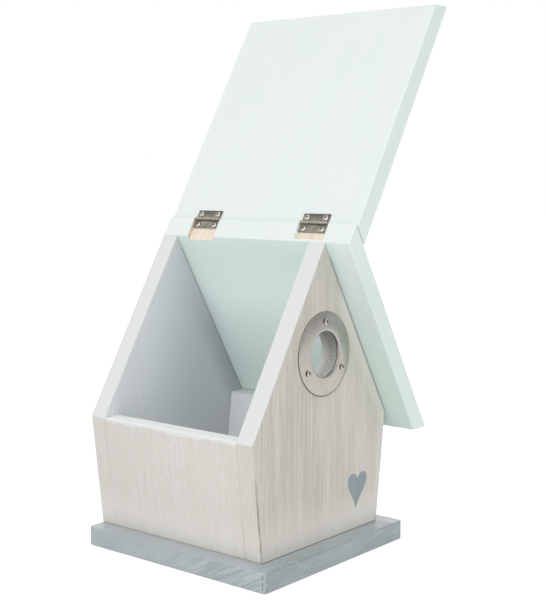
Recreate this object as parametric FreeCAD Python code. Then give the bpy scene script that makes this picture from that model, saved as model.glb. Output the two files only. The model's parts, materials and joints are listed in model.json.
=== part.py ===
import FreeCAD, Part
import math
import os

# Bird nest box: a gabled wooden house whose left roof panel is a lid on two small butt hinges.
# Millimetres, +Z up. The front wall faces -Y, and +X is to the right seen from the front.
# The origin is the middle of the base board's underside. The lid stands fully open, as it is held
# for cleaning: half a turn from closed, its ridge bevel over the outer face of the fixed roof panel.

V = FreeCAD.Vector

# Boards
base_t = 14.0                 # base board thickness
wall_t = 14.0                 # thickness of the four walls
roof_t = 14.0                 # thickness of both roof panels
arris_r = 0.6                 # sanded edges of walls and roof panels
glue_line = 0.15              # fine open seam at each end of a side wall

# House body
foot_w = 134.0                # width of the front and back walls where they stand on the base
eave_w = 154.0                # their width at the eaves
eave_h = 82.0                 # eaves above the base board
gable_rise = 127.8            # ridge line above the eaves
body_depth = 152.0            # front face to back face

# Base board
base_overhang = 14.2          # beyond the walls at the front and both sides; flush at the back
base_corner_r = 3.0
base_arris_r = 0.9

# Roof
roof_front_overhang = 20.0    # beyond the front wall; flush at the back
roof_run = 165.0              # along the inner slope, from the ridge line to the level eave cut
lid_rest_gap = 0.3            # closed lid above the gables, for paint
lid_open_gap = 0.9            # open lid's ridge bevel above the fixed panel's outer face

# Entry hole with its metal plate
entry_r = 16.0
entry_above_base = 133.1      # hole centre above the base board
bore_relief = 0.5             # the hole in the wood is this much larger in radius than the plate's
plate_r = 29.0
plate_t = 1.4
plate_rim_r = 0.7
plate_screw_count = 3

# Butt hinges
hinge_len = 23.0              # along the pin
hinge_inset = 36.5            # from each end of the roof to the middle of a hinge
leaf_w = 7.4                  # pin axis to the leaf's free edge
leaf_t = 0.6
leaf_corner_r = 0.4
pin_r = 0.6
pin_fit = 0.05                # running clearance of the pin in its knuckles
move_gap = 0.3                # between pieces that turn past each other
recess_front_margin = 2.2     # bare recess beyond a leaf's front end
recess_back_margin = 0.3      # and beyond its back end
recess_tail = 6.4             # front recess beyond the leaf's free edge; the back one runs right through
hinge_screw_inset = 3.5       # from the leaf's end to a screw

# Keyhole hanger plate, let into the back wall
hanger_above_base = 150.0     # plate centre above the base board
hanger_w = 16.0
hanger_h = 46.0
hanger_t = 1.2
hanger_corner_r = 3.0
hanger_set = 0.2              # plate's face below the back wall's face
keyhole_r = 4.5               # round part that a screw head passes
keyhole_slot_r = 2.3          # half the width of the slot that the shank slides up
keyhole_rise = 9.0            # from the round part's centre to the slot's top centre
pocket_depth = 6.0            # room for the screw head behind the plate
pocket_margin = 1.0
hanger_screw_inset = 5.5      # from the plate's end to a screw

# Fasteners
screw_fit = 0.05              # between a fastener and its hole
blind_cover = 3.0             # wood left beyond the tip of a short screw
brad_r = 0.7
brad_len = 30.0
brad_tip = 2.0
brad_set = 1.5                # brad heads are sunk this far and filled over
brad_count = 3                # in each joint
brad_end = 14.0               # first and last brad from the ends of a wall joint
roof_brad_ridge = 30.0        # first roof brad from the ridge, along the slope
roof_brad_eave = 20.0         # last roof brad from the eaves
base_screw_x = 40.0           # screws into the front and back walls, from the middle
base_screw_set = 0.4          # heads below the base board's underside
base_screw_rise = 16.0        # how far a base screw goes up into a wall

# Screw shapes: seat is the height of the countersunk cone, rim and crown stand above the seat plane
hinge_screw = dict(head_r=2.1, shank_r=0.9, tip=1.6, seat=0.0, rim=0.25, crown=0.5, length=4.8)
plate_screw = dict(head_r=2.1, shank_r=1.1, tip=2.0, seat=0.0, rim=0.7, crown=0.7,
                   length=plate_t + wall_t - blind_cover)
hanger_screw = dict(head_r=2.7, shank_r=1.5, tip=2.5, seat=hanger_t, rim=0.0, crown=0.0,
                    length=wall_t - hanger_set - blind_cover)
base_screw = dict(head_r=3.5, shank_r=1.75, tip=4.0, seat=1.75, rim=0.0, crown=0.0,
                  length=base_t - base_screw_set + base_screw_rise)
drive_slot_w = 0.36           # cross slot, as shares of the head's radius
drive_slot_reach = 0.62
drive_slot_depth = 0.3

# Places that follow from the driving dimensions
base_depth = body_depth + base_overhang
base_w = foot_w + 2 * base_overhang
front_y = base_overhang - base_depth / 2
back_y = base_depth / 2
roof_front_y = front_y - roof_front_overhang
eave_z = base_t + eave_h
ridge_z = eave_z + gable_rise
entry_z = base_t + entry_above_base
hanger_z = base_t + hanger_above_base
plate_screw_ring = (entry_r + plate_r) / 2

slope = math.atan2(eave_w / 2, gable_rise)             # roof slope, from the vertical
lean = math.atan2((eave_w - foot_w) / 2, eave_h)       # side walls, from the vertical
side_t = wall_t / math.cos(lean)                       # side wall, measured level
apex = V(0, 0, ridge_z)
rise_right = V(math.sin(slope), 0, math.cos(slope))    # up along the left slope and beyond the ridge
rise_left = V(-math.sin(slope), 0, math.cos(slope))    # up along the right slope and beyond the ridge
out_left = V(-math.cos(slope), 0, math.sin(slope))     # normal of the left slope
out_right = V(math.cos(slope), 0, math.sin(slope))     # normal of the right slope
ridge_angle = 2 * slope                                # between the two slopes
end_face_w = roof_t / math.sin(ridge_angle)            # ridge end of a roof panel
eave_cut_w = roof_t / math.cos(slope)                  # level cut at an eave
ridge_out = apex + rise_right * end_face_w             # outer arris of the fixed panel's ridge end
eave_in = apex - rise_left * roof_run                  # inner arris of the fixed panel's eave

# The hinge pin lies in the recess of the fixed panel's ridge end. When the lid is closed its underside
# clears the knuckles; turned half a turn it clears the fixed panel's outer face by the open gap.
barrel_r = pin_r + leaf_t
leaf_seat = barrel_r + move_gap                        # pin axis to the wood under a leaf
leaf_start = barrel_r + move_gap                       # pin axis to the flat part of a leaf
screw_row = (leaf_start + leaf_w) / 2
pin_depth = leaf_seat - lid_rest_gap                   # below the plane of the ridge end
pin_shift = (lid_open_gap / 2 - pin_depth * math.cos(ridge_angle)) / math.sin(ridge_angle)
pin = ridge_out - out_left * pin_depth + rise_right * pin_shift
hinge_ys = {"back": back_y - hinge_inset, "front": roof_front_y + hinge_inset}


def prism(profile, y_low, y_high):
    """Board with an outline in the XZ plane, from one Y to another."""
    corners = [V(p.x, y_low, p.z) for p in profile]
    face = Part.Face(Part.makePolygon(corners + corners[:1]))
    return face.extrude(V(0, y_high - y_low, 0))


def block(low, high):
    """Box between two corners."""
    return Part.makeBox(high.x - low.x, high.y - low.y, high.z - low.z, low)


def eased(shape, radius, wanted):
    """Round the edges that the test picks."""
    return shape.makeFillet(radius, [edge for edge in shape.Edges if wanted(edge)])


def edge_at_y(edge, y):
    return all(abs(v.Point.y - y) < 1e-6 for v in edge.Vertexes)


def edge_at_z(edge, z):
    return all(abs(v.Point.z - z) < 1e-6 for v in edge.Vertexes)


def placed(shape, point, axis):
    """Copy of a shape whose own +Z points along the axis, moved to the point."""
    moved = shape.copy()
    moved.Placement = FreeCAD.Placement(point, FreeCAD.Rotation(V(0, 0, 1), axis))
    return moved


def turned(points):
    """Solid of revolution about Z from points (radius, height) that start and end on the axis."""
    corners = [V(r, 0, z) for r, z in points]
    face = Part.Face(Part.makePolygon(corners + corners[:1]))
    return face.revolve(V(0, 0, 0), V(0, 0, 1), 360)


def screw(head_r, shank_r, tip, seat, rim, crown, length):
    """Screw with its seat plane at zero, its head up and its shank down, with a cross slot."""
    outline = [V(0, 0, -length), V(shank_r, 0, tip - length), V(shank_r, 0, -seat), V(head_r, 0, 0)]
    if rim:
        outline.append(V(head_r, 0, rim))
    top = V(0, 0, rim + crown)
    lines = [Part.makeLine(a, b) for a, b in zip(outline, outline[1:])]
    if crown:
        sphere_r = (head_r ** 2 + crown ** 2) / (2 * crown)
        half = math.asin(head_r / sphere_r) / 2
        middle = V(sphere_r * math.sin(half), 0, top.z - sphere_r * (1 - math.cos(half)))
        lines.append(Part.Arc(outline[-1], middle, top).toShape())
    else:
        lines.append(Part.makeLine(outline[-1], top))
    lines.append(Part.makeLine(top, outline[0]))
    body = Part.Face(Part.Wire(lines)).revolve(V(0, 0, 0), V(0, 0, 1), 360)
    half_w = drive_slot_w * head_r / 2
    reach = drive_slot_reach * head_r
    depth = drive_slot_depth * head_r
    for a, b in ((half_w, reach), (reach, half_w)):
        body = body.cut(block(V(-a, -b, top.z - depth), V(a, b, top.z + depth)))
    return body


def screw_hole(head_r, shank_r, tip, seat, rim, crown, length):
    """Cutter for a screw's hole, a fit larger all round and open above the head."""
    head, shank, above = head_r + screw_fit, shank_r + screw_fit, rim + crown + head_r
    return turned([(0, -length - screw_fit), (shank, tip - length), (shank, -seat), (head, 0),
                   (head, above), (0, above)])


def brad(grow=0.0):
    """Headless brad below zero, or with grow the cutter for its hole."""
    r = brad_r + grow
    return turned([(0, -brad_len - grow), (r, brad_tip - brad_len), (r, grow), (0, grow)])


def write(node, *shapes):
    """Write one node: a single solid, or a group of separate solids."""
    shape = shapes[0] if len(shapes) == 1 else Part.makeCompound(list(shapes))
    shape.exportStep(f"parts/{node}.step")
    print(f"{node:28s} solids {len(shape.Solids)}  volume {shape.Volume:10.1f}  valid {shape.isValid()}")


# Where the fasteners go: a list of (point, outward axis) for each group

def half_width(h):
    """Half the body's width at a height above the base board, below the eaves."""
    return foot_w / 2 + h * math.tan(lean)


def spaced(first, last, count):
    return [first + (last - first) * i / (count - 1) for i in range(count)]


wall_brad_heights = spaced(brad_end, eave_h - brad_end, brad_count)
wall_brad_spots = [(side * (half_width(h) - side_t / 2), base_t + h)
                   for side in (-1, 1) for h in wall_brad_heights]
front_brads = [(V(x, front_y + brad_set, z), V(0, -1, 0)) for x, z in wall_brad_spots]
back_brads = [(V(x, back_y - brad_set, z), V(0, 1, 0)) for x, z in wall_brad_spots]

gable_edge = eave_w / 2 / math.sin(slope)
gable_middles = (front_y + wall_t / 2, back_y - wall_t / 2)
roof_brads = []
for y in gable_middles:
    for run in spaced(roof_brad_ridge, gable_edge - roof_brad_eave, brad_count):
        point = apex - rise_left * run + out_right * (roof_t - brad_set)
        roof_brads.append((V(point.x, y, point.z), out_right))

base_screws = [(V(side * base_screw_x, y, base_screw_set), V(0, 0, -1))
               for y in gable_middles for side in (-1, 1)]
side_screw_x = half_width(base_screw_rise / 2) - side_t / 2
base_screws += [(V(side * side_screw_x, (front_y + back_y) / 2, base_screw_set), V(0, 0, -1))
                for side in (-1, 1)]

plate_screws = []
for i in range(plate_screw_count):
    angle = math.pi / 2 + 2 * math.pi * i / plate_screw_count
    spot_x = plate_screw_ring * math.cos(angle)
    spot_z = entry_z + plate_screw_ring * math.sin(angle)
    plate_screws.append((V(spot_x, front_y - plate_t, spot_z), V(0, -1, 0)))

hanger_screw_reach = hanger_h / 2 - hanger_screw_inset
hanger_screws = [(V(0, back_y - hanger_set, hanger_z + side * hanger_screw_reach), V(0, 1, 0))
                 for side in (-1, 1)]


def all_placed(shape, spots):
    return [placed(shape, point, axis) for point, axis in spots]


front_brad_holes = all_placed(brad(screw_fit), front_brads)
back_brad_holes = all_placed(brad(screw_fit), back_brads)
roof_brad_holes = all_placed(brad(screw_fit), roof_brads)
base_screw_holes = all_placed(screw_hole(**base_screw), base_screws)
plate_screw_holes = all_placed(screw_hole(**plate_screw), plate_screws)
hanger_screw_holes = all_placed(screw_hole(**hanger_screw), hanger_screws)


# Base board

def base_board():
    board = block(V(-base_w / 2, -base_depth / 2, 0), V(base_w / 2, base_depth / 2, base_t))
    board = eased(board, base_corner_r, lambda e: not edge_at_z(e, 0) and not edge_at_z(e, base_t))
    board = eased(board, base_arris_r, lambda e: edge_at_z(e, 0) or edge_at_z(e, base_t))
    return board.cut(base_screw_holes)


# Walls

def gable_wall(outer_y, inner_y):
    """Front or back wall: narrow foot, wider eaves, pointed gable, with sanded outer edges."""
    profile = [V(-foot_w / 2, 0, base_t), V(foot_w / 2, 0, base_t), V(eave_w / 2, 0, eave_z), apex,
               V(-eave_w / 2, 0, eave_z)]
    wall = prism(profile, min(outer_y, inner_y), max(outer_y, inner_y))

    def sanded(edge):
        in_gable = edge.CenterOfMass.z > eave_z and edge_at_y(edge, inner_y)
        return edge_at_y(edge, outer_y) or in_gable
    return eased(wall, arris_r, sanded)


def front_wall():
    wall = gable_wall(front_y, front_y + wall_t)
    hole = Part.makeCylinder(entry_r + bore_relief, wall_t, V(0, front_y, entry_z), V(0, 1, 0))
    return wall.cut([hole] + plate_screw_holes + front_brad_holes + roof_brad_holes + base_screw_holes)


def rounded_plate(width, height, depth, y, corner_r):
    """Upright rounded rectangle centred on the hanger, from y towards the front by depth."""
    low = V(-width / 2, y - depth, hanger_z - height / 2)
    shape = block(low, low + V(width, depth, height))
    return eased(shape, corner_r, lambda e: not edge_at_y(e, y) and not edge_at_y(e, y - depth))


def keyhole(y_low, y_high):
    """Keyhole outline through a plate: a round hole below, a narrow slot above it."""
    low_z = hanger_z - keyhole_rise / 2
    high_z = hanger_z + keyhole_rise / 2
    length = y_high - y_low
    entry = Part.makeCylinder(keyhole_r, length, V(0, y_low, low_z), V(0, 1, 0))
    slot = block(V(-keyhole_slot_r, y_low, low_z), V(keyhole_slot_r, y_high, high_z))
    top = Part.makeCylinder(keyhole_slot_r, length, V(0, y_low, high_z), V(0, 1, 0))
    return entry.fuse([slot, top]).removeSplitter()


def back_wall():
    wall = gable_wall(back_y, back_y - wall_t)
    let_in = rounded_plate(hanger_w + 2 * screw_fit, hanger_h + 2 * screw_fit, hanger_set + hanger_t,
                           back_y, hanger_corner_r + screw_fit)
    head_w = 2 * (keyhole_r + pocket_margin)
    floor_y = back_y - hanger_set - hanger_t
    pocket = rounded_plate(head_w, head_w + keyhole_rise, pocket_depth, floor_y, keyhole_r)
    fastener_holes = hanger_screw_holes + back_brad_holes + roof_brad_holes + base_screw_holes
    return wall.cut([let_in, pocket] + fastener_holes)


def side_wall(side):
    """Leaning wall between front and back: side is -1 for the left wall and 1 for the right one."""
    profile = [V(side * foot_w / 2, 0, base_t), V(side * eave_w / 2, 0, eave_z),
               V(side * (eave_w / 2 - side_t), 0, eave_z), V(side * (foot_w / 2 - side_t), 0, base_t)]
    wall = prism(profile, front_y + wall_t + glue_line, back_y - wall_t - glue_line)
    along_top = [edge for edge in wall.Edges if edge_at_z(edge, eave_z) and abs(edge.tangentAt(0).y) > 0.5]
    wall = wall.makeFillet(arris_r, along_top)
    return wall.cut(front_brad_holes + back_brad_holes + base_screw_holes)


# Hinges, drawn about the pin: X runs along the open lid, Y along the pin, Z out of the leaves

def at_hinge(shape, y):
    moved = shape.copy()
    turn = FreeCAD.Rotation(V(0, 1, 0), math.degrees(slope) - 90)
    moved.Placement = FreeCAD.Placement(V(pin.x, y, pin.z), turn).multiply(moved.Placement)
    return moved


def hinge_screw_spots(side):
    reach = hinge_len / 2 - hinge_screw_inset
    return [(V(side * screw_row, end * reach, leaf_t - leaf_seat), V(0, 0, 1)) for end in (-1, 1)]


def hinge_screws(side):
    return all_placed(screw(**hinge_screw), hinge_screw_spots(side))


def hinge_screw_holes(side):
    return all_placed(screw_hole(**hinge_screw), hinge_screw_spots(side))


knuckle_len = (hinge_len - 2 * move_gap) / 3
middle_knuckle = [(-knuckle_len / 2, knuckle_len / 2)]
outer_knuckles = [(-hinge_len / 2, knuckle_len - hinge_len / 2),
                  (hinge_len / 2 - knuckle_len, hinge_len / 2)]


def leaf(side, knuckles):
    """Hinge leaf: side is -1 for the leaf on the fixed panel and 1 for the one on the lid."""
    xs = sorted((side * leaf_start, side * leaf_w))
    flat = block(V(xs[0], -hinge_len / 2, -leaf_seat), V(xs[1], hinge_len / 2, leaf_t - leaf_seat))
    free_edge = side * leaf_w
    flat = eased(flat, leaf_corner_r, lambda e: abs(e.tangentAt(0).z) > 0.5
                 and abs(e.CenterOfMass.x - free_edge) < 1e-6)
    pieces = []
    for low, high in knuckles:
        joint = sorted((0, side * (leaf_start + leaf_t / 2)))
        pieces.append(block(V(joint[0], low, -barrel_r), V(joint[1], high, leaf_t - barrel_r)))
        pieces.append(Part.makeCylinder(barrel_r, high - low, V(0, low, 0), V(0, 1, 0)))
    bore = Part.makeCylinder(pin_r + pin_fit, 2 * hinge_len, V(0, -hinge_len, 0), V(0, 1, 0))
    return flat.fuse(pieces).cut([bore] + hinge_screw_holes(side)).removeSplitter()


def hinge_pin():
    return Part.makeCylinder(pin_r, hinge_len, V(0, -hinge_len / 2, 0), V(0, 1, 0))


def hinge_recess(run):
    """Recess for a folded hinge, open at the ridge, that runs down the end face from the pin."""
    front = -hinge_len / 2 - recess_front_margin
    back = hinge_len / 2 + recess_back_margin
    return block(V(-run, front, -leaf_seat), V(roof_t, back, roof_t))


recess_runs = {"back": end_face_w + roof_t, "front": leaf_w + recess_tail}


# Roof panels

def fixed_roof():
    profile = [apex, eave_in, eave_in + V(eave_cut_w, 0, 0), ridge_out]
    panel = eased(prism(profile, roof_front_y, back_y), arris_r, lambda e: True)
    cutters = list(roof_brad_holes)
    for place, y in hinge_ys.items():
        cutters.append(at_hinge(hinge_recess(recess_runs[place]), y))
        cutters += [at_hinge(hole, y) for hole in hinge_screw_holes(-1)]
    return panel.cut(cutters)


def roof_lid():
    """Left roof panel, drawn closed and then turned half a turn about the hinge pin."""
    ridge_in = ridge_out + rise_left * (lid_rest_gap / math.sin(ridge_angle))
    ridge_top = ridge_in + rise_left * end_face_w
    lid_eave_in = V(-eave_in.x - lid_rest_gap / math.cos(slope), 0, eave_in.z)
    profile = [ridge_in, ridge_top, lid_eave_in - V(eave_cut_w, 0, 0), lid_eave_in]
    panel = eased(prism(profile, roof_front_y, back_y), arris_r, lambda e: True)
    panel.rotate(pin, V(0, 1, 0), 180)
    cutters = []
    for y in hinge_ys.values():
        cutters += [at_hinge(hole, y) for hole in hinge_screw_holes(1)]
    return panel.cut(cutters)


# Metal fittings

def entry_plate():
    disc = Part.makeCylinder(plate_r, plate_t, V(0, front_y, entry_z), V(0, -1, 0))
    hole = Part.makeCylinder(entry_r, plate_t, V(0, front_y, entry_z), V(0, -1, 0))
    face_y = front_y - plate_t
    ring = eased(disc.cut(hole), plate_rim_r, lambda e: edge_at_y(e, face_y))
    return ring.cut(plate_screw_holes)


def hanger_plate():
    y = back_y - hanger_set
    plate = rounded_plate(hanger_w, hanger_h, hanger_t, y, hanger_corner_r)
    return plate.cut([keyhole(y - hanger_t, y)] + hanger_screw_holes)


os.makedirs("parts", exist_ok=True)
write("base_board", base_board())
write("front_wall", front_wall())
write("back_wall", back_wall())
write("left_wall", side_wall(-1))
write("right_wall", side_wall(1))
write("fixed_roof", fixed_roof())
write("roof_lid", roof_lid())
write("entry_plate", entry_plate())
write("entry_plate_screws", *all_placed(screw(**plate_screw), plate_screws))
for place, y in hinge_ys.items():
    write(f"{place}_hinge_fixed_leaf", at_hinge(leaf(-1, middle_knuckle), y))
    write(f"{place}_hinge_lid_leaf", at_hinge(leaf(1, outer_knuckles), y))
    write(f"{place}_hinge_pin", at_hinge(hinge_pin(), y))
    write(f"{place}_hinge_fixed_screws", *[at_hinge(s, y) for s in hinge_screws(-1)])
    write(f"{place}_hinge_lid_screws", *[at_hinge(s, y) for s in hinge_screws(1)])
write("front_wall_brads", *all_placed(brad(), front_brads))
write("back_wall_brads", *all_placed(brad(), back_brads))
write("roof_brads", *all_placed(brad(), roof_brads))
write("base_screws", *all_placed(screw(**base_screw), base_screws))
write("hanger_plate", hanger_plate())
write("hanger_screws", *all_placed(screw(**hanger_screw), hanger_screws))
print(f"slope {math.degrees(slope):.3f}  ridge {ridge_z:.1f}  pin {pin.x:.6f} {pin.z:.6f}")
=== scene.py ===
# %% [markdown]
# # A nest box whose roof is a lid
# The real thing is a small wooden house for garden birds. Its left roof panel is a lid on two butt hinges,
# and it stands open here, as it is held for cleaning. The boards and fittings come ready made from the
# packed construction, in metres, each in its place. This lesson gives them their finishes, models the
# fine metalwork and the painted heart, and sets up the light and the camera.

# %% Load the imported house
import json
import math
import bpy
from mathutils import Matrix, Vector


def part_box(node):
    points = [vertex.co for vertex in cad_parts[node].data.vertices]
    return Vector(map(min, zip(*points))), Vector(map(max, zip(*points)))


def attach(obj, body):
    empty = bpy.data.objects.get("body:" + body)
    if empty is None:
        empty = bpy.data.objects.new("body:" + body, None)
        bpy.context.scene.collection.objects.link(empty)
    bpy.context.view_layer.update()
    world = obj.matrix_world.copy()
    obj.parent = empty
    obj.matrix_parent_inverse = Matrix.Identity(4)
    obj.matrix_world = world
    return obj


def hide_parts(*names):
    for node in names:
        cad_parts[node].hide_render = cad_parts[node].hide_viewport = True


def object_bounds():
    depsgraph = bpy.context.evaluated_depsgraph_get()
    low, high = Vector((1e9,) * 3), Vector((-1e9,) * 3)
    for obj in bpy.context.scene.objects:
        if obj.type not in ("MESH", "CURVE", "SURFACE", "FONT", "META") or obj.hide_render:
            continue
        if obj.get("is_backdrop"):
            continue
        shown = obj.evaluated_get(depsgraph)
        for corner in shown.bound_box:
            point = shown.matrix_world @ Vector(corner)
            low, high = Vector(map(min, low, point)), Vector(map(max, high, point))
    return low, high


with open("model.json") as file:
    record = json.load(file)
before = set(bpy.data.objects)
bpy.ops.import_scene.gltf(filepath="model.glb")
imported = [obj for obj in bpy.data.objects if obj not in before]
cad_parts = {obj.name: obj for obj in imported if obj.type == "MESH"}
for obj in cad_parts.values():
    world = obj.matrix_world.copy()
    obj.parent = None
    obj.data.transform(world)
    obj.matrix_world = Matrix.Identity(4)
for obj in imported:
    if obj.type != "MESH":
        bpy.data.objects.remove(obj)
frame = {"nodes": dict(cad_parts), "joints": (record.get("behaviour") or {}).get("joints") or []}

from types import SimpleNamespace

import bmesh
import bpy
from mathutils import Color, Matrix, Vector

MM = 0.001
cad_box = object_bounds()
print("house with its lid open, mm:", [round(v / MM, 1) for v in cad_box[1] - cad_box[0]])

# %% [markdown]
# ## Measures
# A finish has to know where it is: the walls are limed outside and white inside, and the white stops at an
# edge. Reading the boards' own corners keeps the finishes right when a board changes, which numbers typed
# in by hand would not.

# %% Helpers that measure
hair = 0.01 * MM                    # corners this close to a plane lie in it
slack = 0.05 * MM                   # room for masks and matches


def corners(node):
    """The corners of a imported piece."""
    return [vertex.co for vertex in frame["nodes"][node].data.vertices]


def extent(places):
    """Lowest and highest corner of a list of places."""
    return [Vector(pick(place[i] for place in places) for i in range(3)) for pick in (min, max)]


# %% Read the boards' corners
base_low, base_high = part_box("base_board")
front_low, front_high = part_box("front_wall")
plate_low, plate_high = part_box("entry_plate")
base_top = base_high.z
front_y, back_y = front_low.y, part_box("back_wall")[1].y
wall_t = front_high.y - front_low.y
ridge_z, eave_half = front_high.z, front_high.x
eave_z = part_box("left_wall")[1].z
foot_half = max(c.x for c in corners("front_wall") if c.z < base_top + hair)
lean = (eave_half - foot_half) / (eave_z - base_top)
slope = math.atan2(eave_half, ridge_z - eave_z)
print("slope", round(math.degrees(slope), 2), "degrees, foot", round(2 * foot_half / MM, 1), "mm")

# %% Read the entry hole
entry = (plate_low + plate_high) / 2
plate_r = (plate_high.x - plate_low.x) / 2
bore_r, plate_hole_r = (min(math.hypot(c.x - entry.x, c.z - entry.z) for c in corners(node))
                        for node in ("front_wall", "entry_plate"))
print("bore", round(2 * bore_r / MM, 1), "mm, hole in the plate", round(2 * plate_hole_r / MM, 1), "mm")

# %% Read the hinges
pin = Vector(frame["joints"][0]["pos_m"])
up_lid = Vector((math.sin(slope), 0, math.cos(slope)))      # along the open lid, away from the pin
off_lid = Vector((-math.cos(slope), 0, math.sin(slope)))    # out of the open lid's underside
hinge_axes = Matrix((up_lid, (0, 1, 0), off_lid)).transposed().to_4x4()
from_pin = hinge_axes.inverted() @ Matrix.Translation(-pin)


def hinge_box(node):
    """Lowest and highest corner of a piece from the pin: along the lid, along the pin, off the lid."""
    return extent([from_pin @ corner for corner in corners(node)])


hinge_ends = {place: hinge_box(f"{place}_hinge_pin") for place in ("back", "front")}
hinge_middles = {place: (low.y + high.y) / 2 for place, (low, high) in hinge_ends.items()}
hinge_len = hinge_ends["back"][1].y - hinge_ends["back"][0].y
pin_r = hinge_ends["back"][1].z
leaf_low, leaf_high = hinge_box("back_hinge_lid_leaf")
leaf_seat, leaf_w, barrel_r = -leaf_low.z, leaf_high.x, -leaf_low.x
leaf_t = barrel_r - pin_r
print("hinge", [round(v / MM, 2) for v in (hinge_len, leaf_w, leaf_t, barrel_r, leaf_seat)], "mm")

# %% [markdown]
# ## Camera
# The picture was taken from the front left, a little above the eaves. The camera was found by matching
# some forty corners of the house; a shift of the lens, rather than a turn of the camera, puts the house in
# its place in the frame, so that upright lines keep their direction.

# %% Stand the camera up
picture_w, picture_h = 546, 600
lens_axis_px = (233, 325)          # where the lens axis meets the picture
focal_px = 1219.254
sensor = 36.0
camera_azimuth, camera_elevation = math.radians(-49.464), math.radians(7.287)
camera_target = Vector((-0.103, 13.486, 160.341)) * MM
camera_distance = 891.545 * MM

level = math.cos(camera_elevation)
to_camera = Vector((math.sin(camera_azimuth) * level, -math.cos(camera_azimuth) * level,
                    math.sin(camera_elevation)))
lens = bpy.data.cameras.new("camera")
lens.sensor_width = sensor
lens.lens = focal_px / picture_h * sensor
lens.shift_x = (picture_w / 2 - lens_axis_px[0]) / picture_h
lens.shift_y = (lens_axis_px[1] - picture_h / 2) / picture_h
lens.clip_start, lens.clip_end = 0.01, 100
camera = bpy.data.objects.new("camera", lens)
camera.location = camera_target + to_camera * camera_distance
camera.rotation_euler = to_camera.to_track_quat("Z", "Y").to_euler()
bpy.context.scene.collection.objects.link(camera)
bpy.context.scene.camera = camera
print("lens", round(lens.lens, 1), "mm")

# %% [markdown]
# ## Shader sums
# Finishes are built from node trees, and long chains of Math nodes are hard to read. A small class wraps a
# node's output so that Python's operators add the Math nodes, and one method adds any other node.

# %% The wire class
class Wire:
    """A node's output that can be used in sums: each operator adds one Math node to its tree."""

    def __init__(self, socket):
        self.socket = socket
        self.tree = socket.id_data

    def node(self, kind, settings=None, inputs=None, output=0):
        """Add a node of any kind to the tree: its settings first, then its sockets' values or links."""
        made = self.tree.nodes.new("ShaderNode" + kind)
        for name, value in (settings or {}).items():
            setattr(made, name, value)
        for key, value in (inputs or {}).items():
            if isinstance(value, Wire):
                self.tree.links.new(value.socket, made.inputs[key])
            else:
                made.inputs[key].default_value = value
        return Wire(made.outputs[output]) if made.outputs else None

    def math(self, operation, first, second=0.0):
        return self.node("Math", {"operation": operation}, {0: first, 1: second})

    def __add__(self, other):
        return self.math("ADD", self, other)

    def __sub__(self, other):
        return self.math("SUBTRACT", self, other)

    def __rsub__(self, other):
        return self.math("SUBTRACT", other, self)

    def __mul__(self, other):
        return self.math("MULTIPLY", self, other)

    def __abs__(self):
        return self.math("ABSOLUTE", self)

    __radd__ = __add__
    __rmul__ = __mul__


# %% Helpers for values
def axes(place):
    """The three coordinates of a place."""
    split = place.node("SeparateXYZ", None, {0: place})
    return [Wire(socket) for socket in split.socket.node.outputs]


def step(value, off, on, kind="SMOOTHSTEP"):
    """0 where the value is at off, 1 where it is at on, and smooth between them."""
    return value.node("MapRange", {"interpolation_type": kind}, {0: value, 1: off, 2: on})


def most(first, *others):
    """The largest of several values."""
    for other in others:
        first = first.math("MAXIMUM", first, other)
    return first


def least(first, *others):
    """The smallest of several values."""
    for other in others:
        first = first.math("MINIMUM", first, other)
    return first


def vector(operation, first, second=(0, 0, 0)):
    """Vector maths: its result is a number for a length or a dot product, and else a vector."""
    output = 1 if operation in ("LENGTH", "DOT_PRODUCT") else 0
    return first.node("VectorMath", {"operation": operation}, {0: first, 1: second}, output)


# %% Helpers for finishes
def colour(red, green, blue):
    """A colour as it is seen on a screen, 0 to 255, turned into the linear values that shaders use."""
    return (*Color((red / 255, green / 255, blue / 255)).from_srgb_to_scene_linear(), 1.0)


def new_finish(name):
    """An empty material, and its Object coordinates as a wire."""
    material = bpy.data.materials.new(name)
    material.use_nodes = True
    material.node_tree.nodes.clear()
    return material, Wire(material.node_tree.nodes.new("ShaderNodeTexCoord").outputs["Object"])


def upright(width, length):
    """The size of an upright grain, from millimetres."""
    return width * MM, width * MM, length * MM


def noise(place, size, detail=3.0, low=0.3, high=0.7):
    """Cloudy noise from 0 to 1 whose grains measure size along the three axes."""
    spread = vector("DIVIDE", place, size)
    cloud = place.node("TexNoise", None, {"Vector": spread, "Scale": 1.0, "Detail": detail})
    return step(cloud, low, high)


def blend(factor, first, second):
    """The first colour where the factor is 0, the second where it is 1."""
    return factor.node("Mix", {"data_type": "RGBA"}, {0: factor, 6: first, 7: second}, output=2)


def relief(height, depth):
    """A normal that follows a height from 0 to 1, the given depth in metres."""
    return height.node("Bump", None, {"Height": height, "Distance": depth, "Strength": 1.0})


def coat(place, **sockets):
    """Close a finish with one Principled shader; the sockets' names have _ for a space."""
    inputs = {name.replace("_", " "): value for name, value in sockets.items()}
    place.node("OutputMaterial", None, {"Surface": place.node("BsdfPrincipled", None, inputs)})


def dress(material, *nodes):
    """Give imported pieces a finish."""
    for name in nodes:
        for slot in frame["nodes"][name].material_slots:
            slot.material = material
    print(material.name, "on", len(nodes), "pieces")


# %% [markdown]
# ## Light and floor
# The picture has soft studio light from above, with a lamp at the left, on a white ground. A sky that
# grows brighter towards the top gives the deep soft shade inside the house, which lamps alone would make
# hard. The sky and the floor are white to the camera; what they throw on the house stays at a plain level.
# Metal mirrors the white ground and, behind the camera, a dimmer room.

# %% Sky
sky_top, sky_front = 1.54, 0.2                  # light from straight above, and from the front
room_level = 0.5                                # what metal mirrors of the room behind the camera


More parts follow.
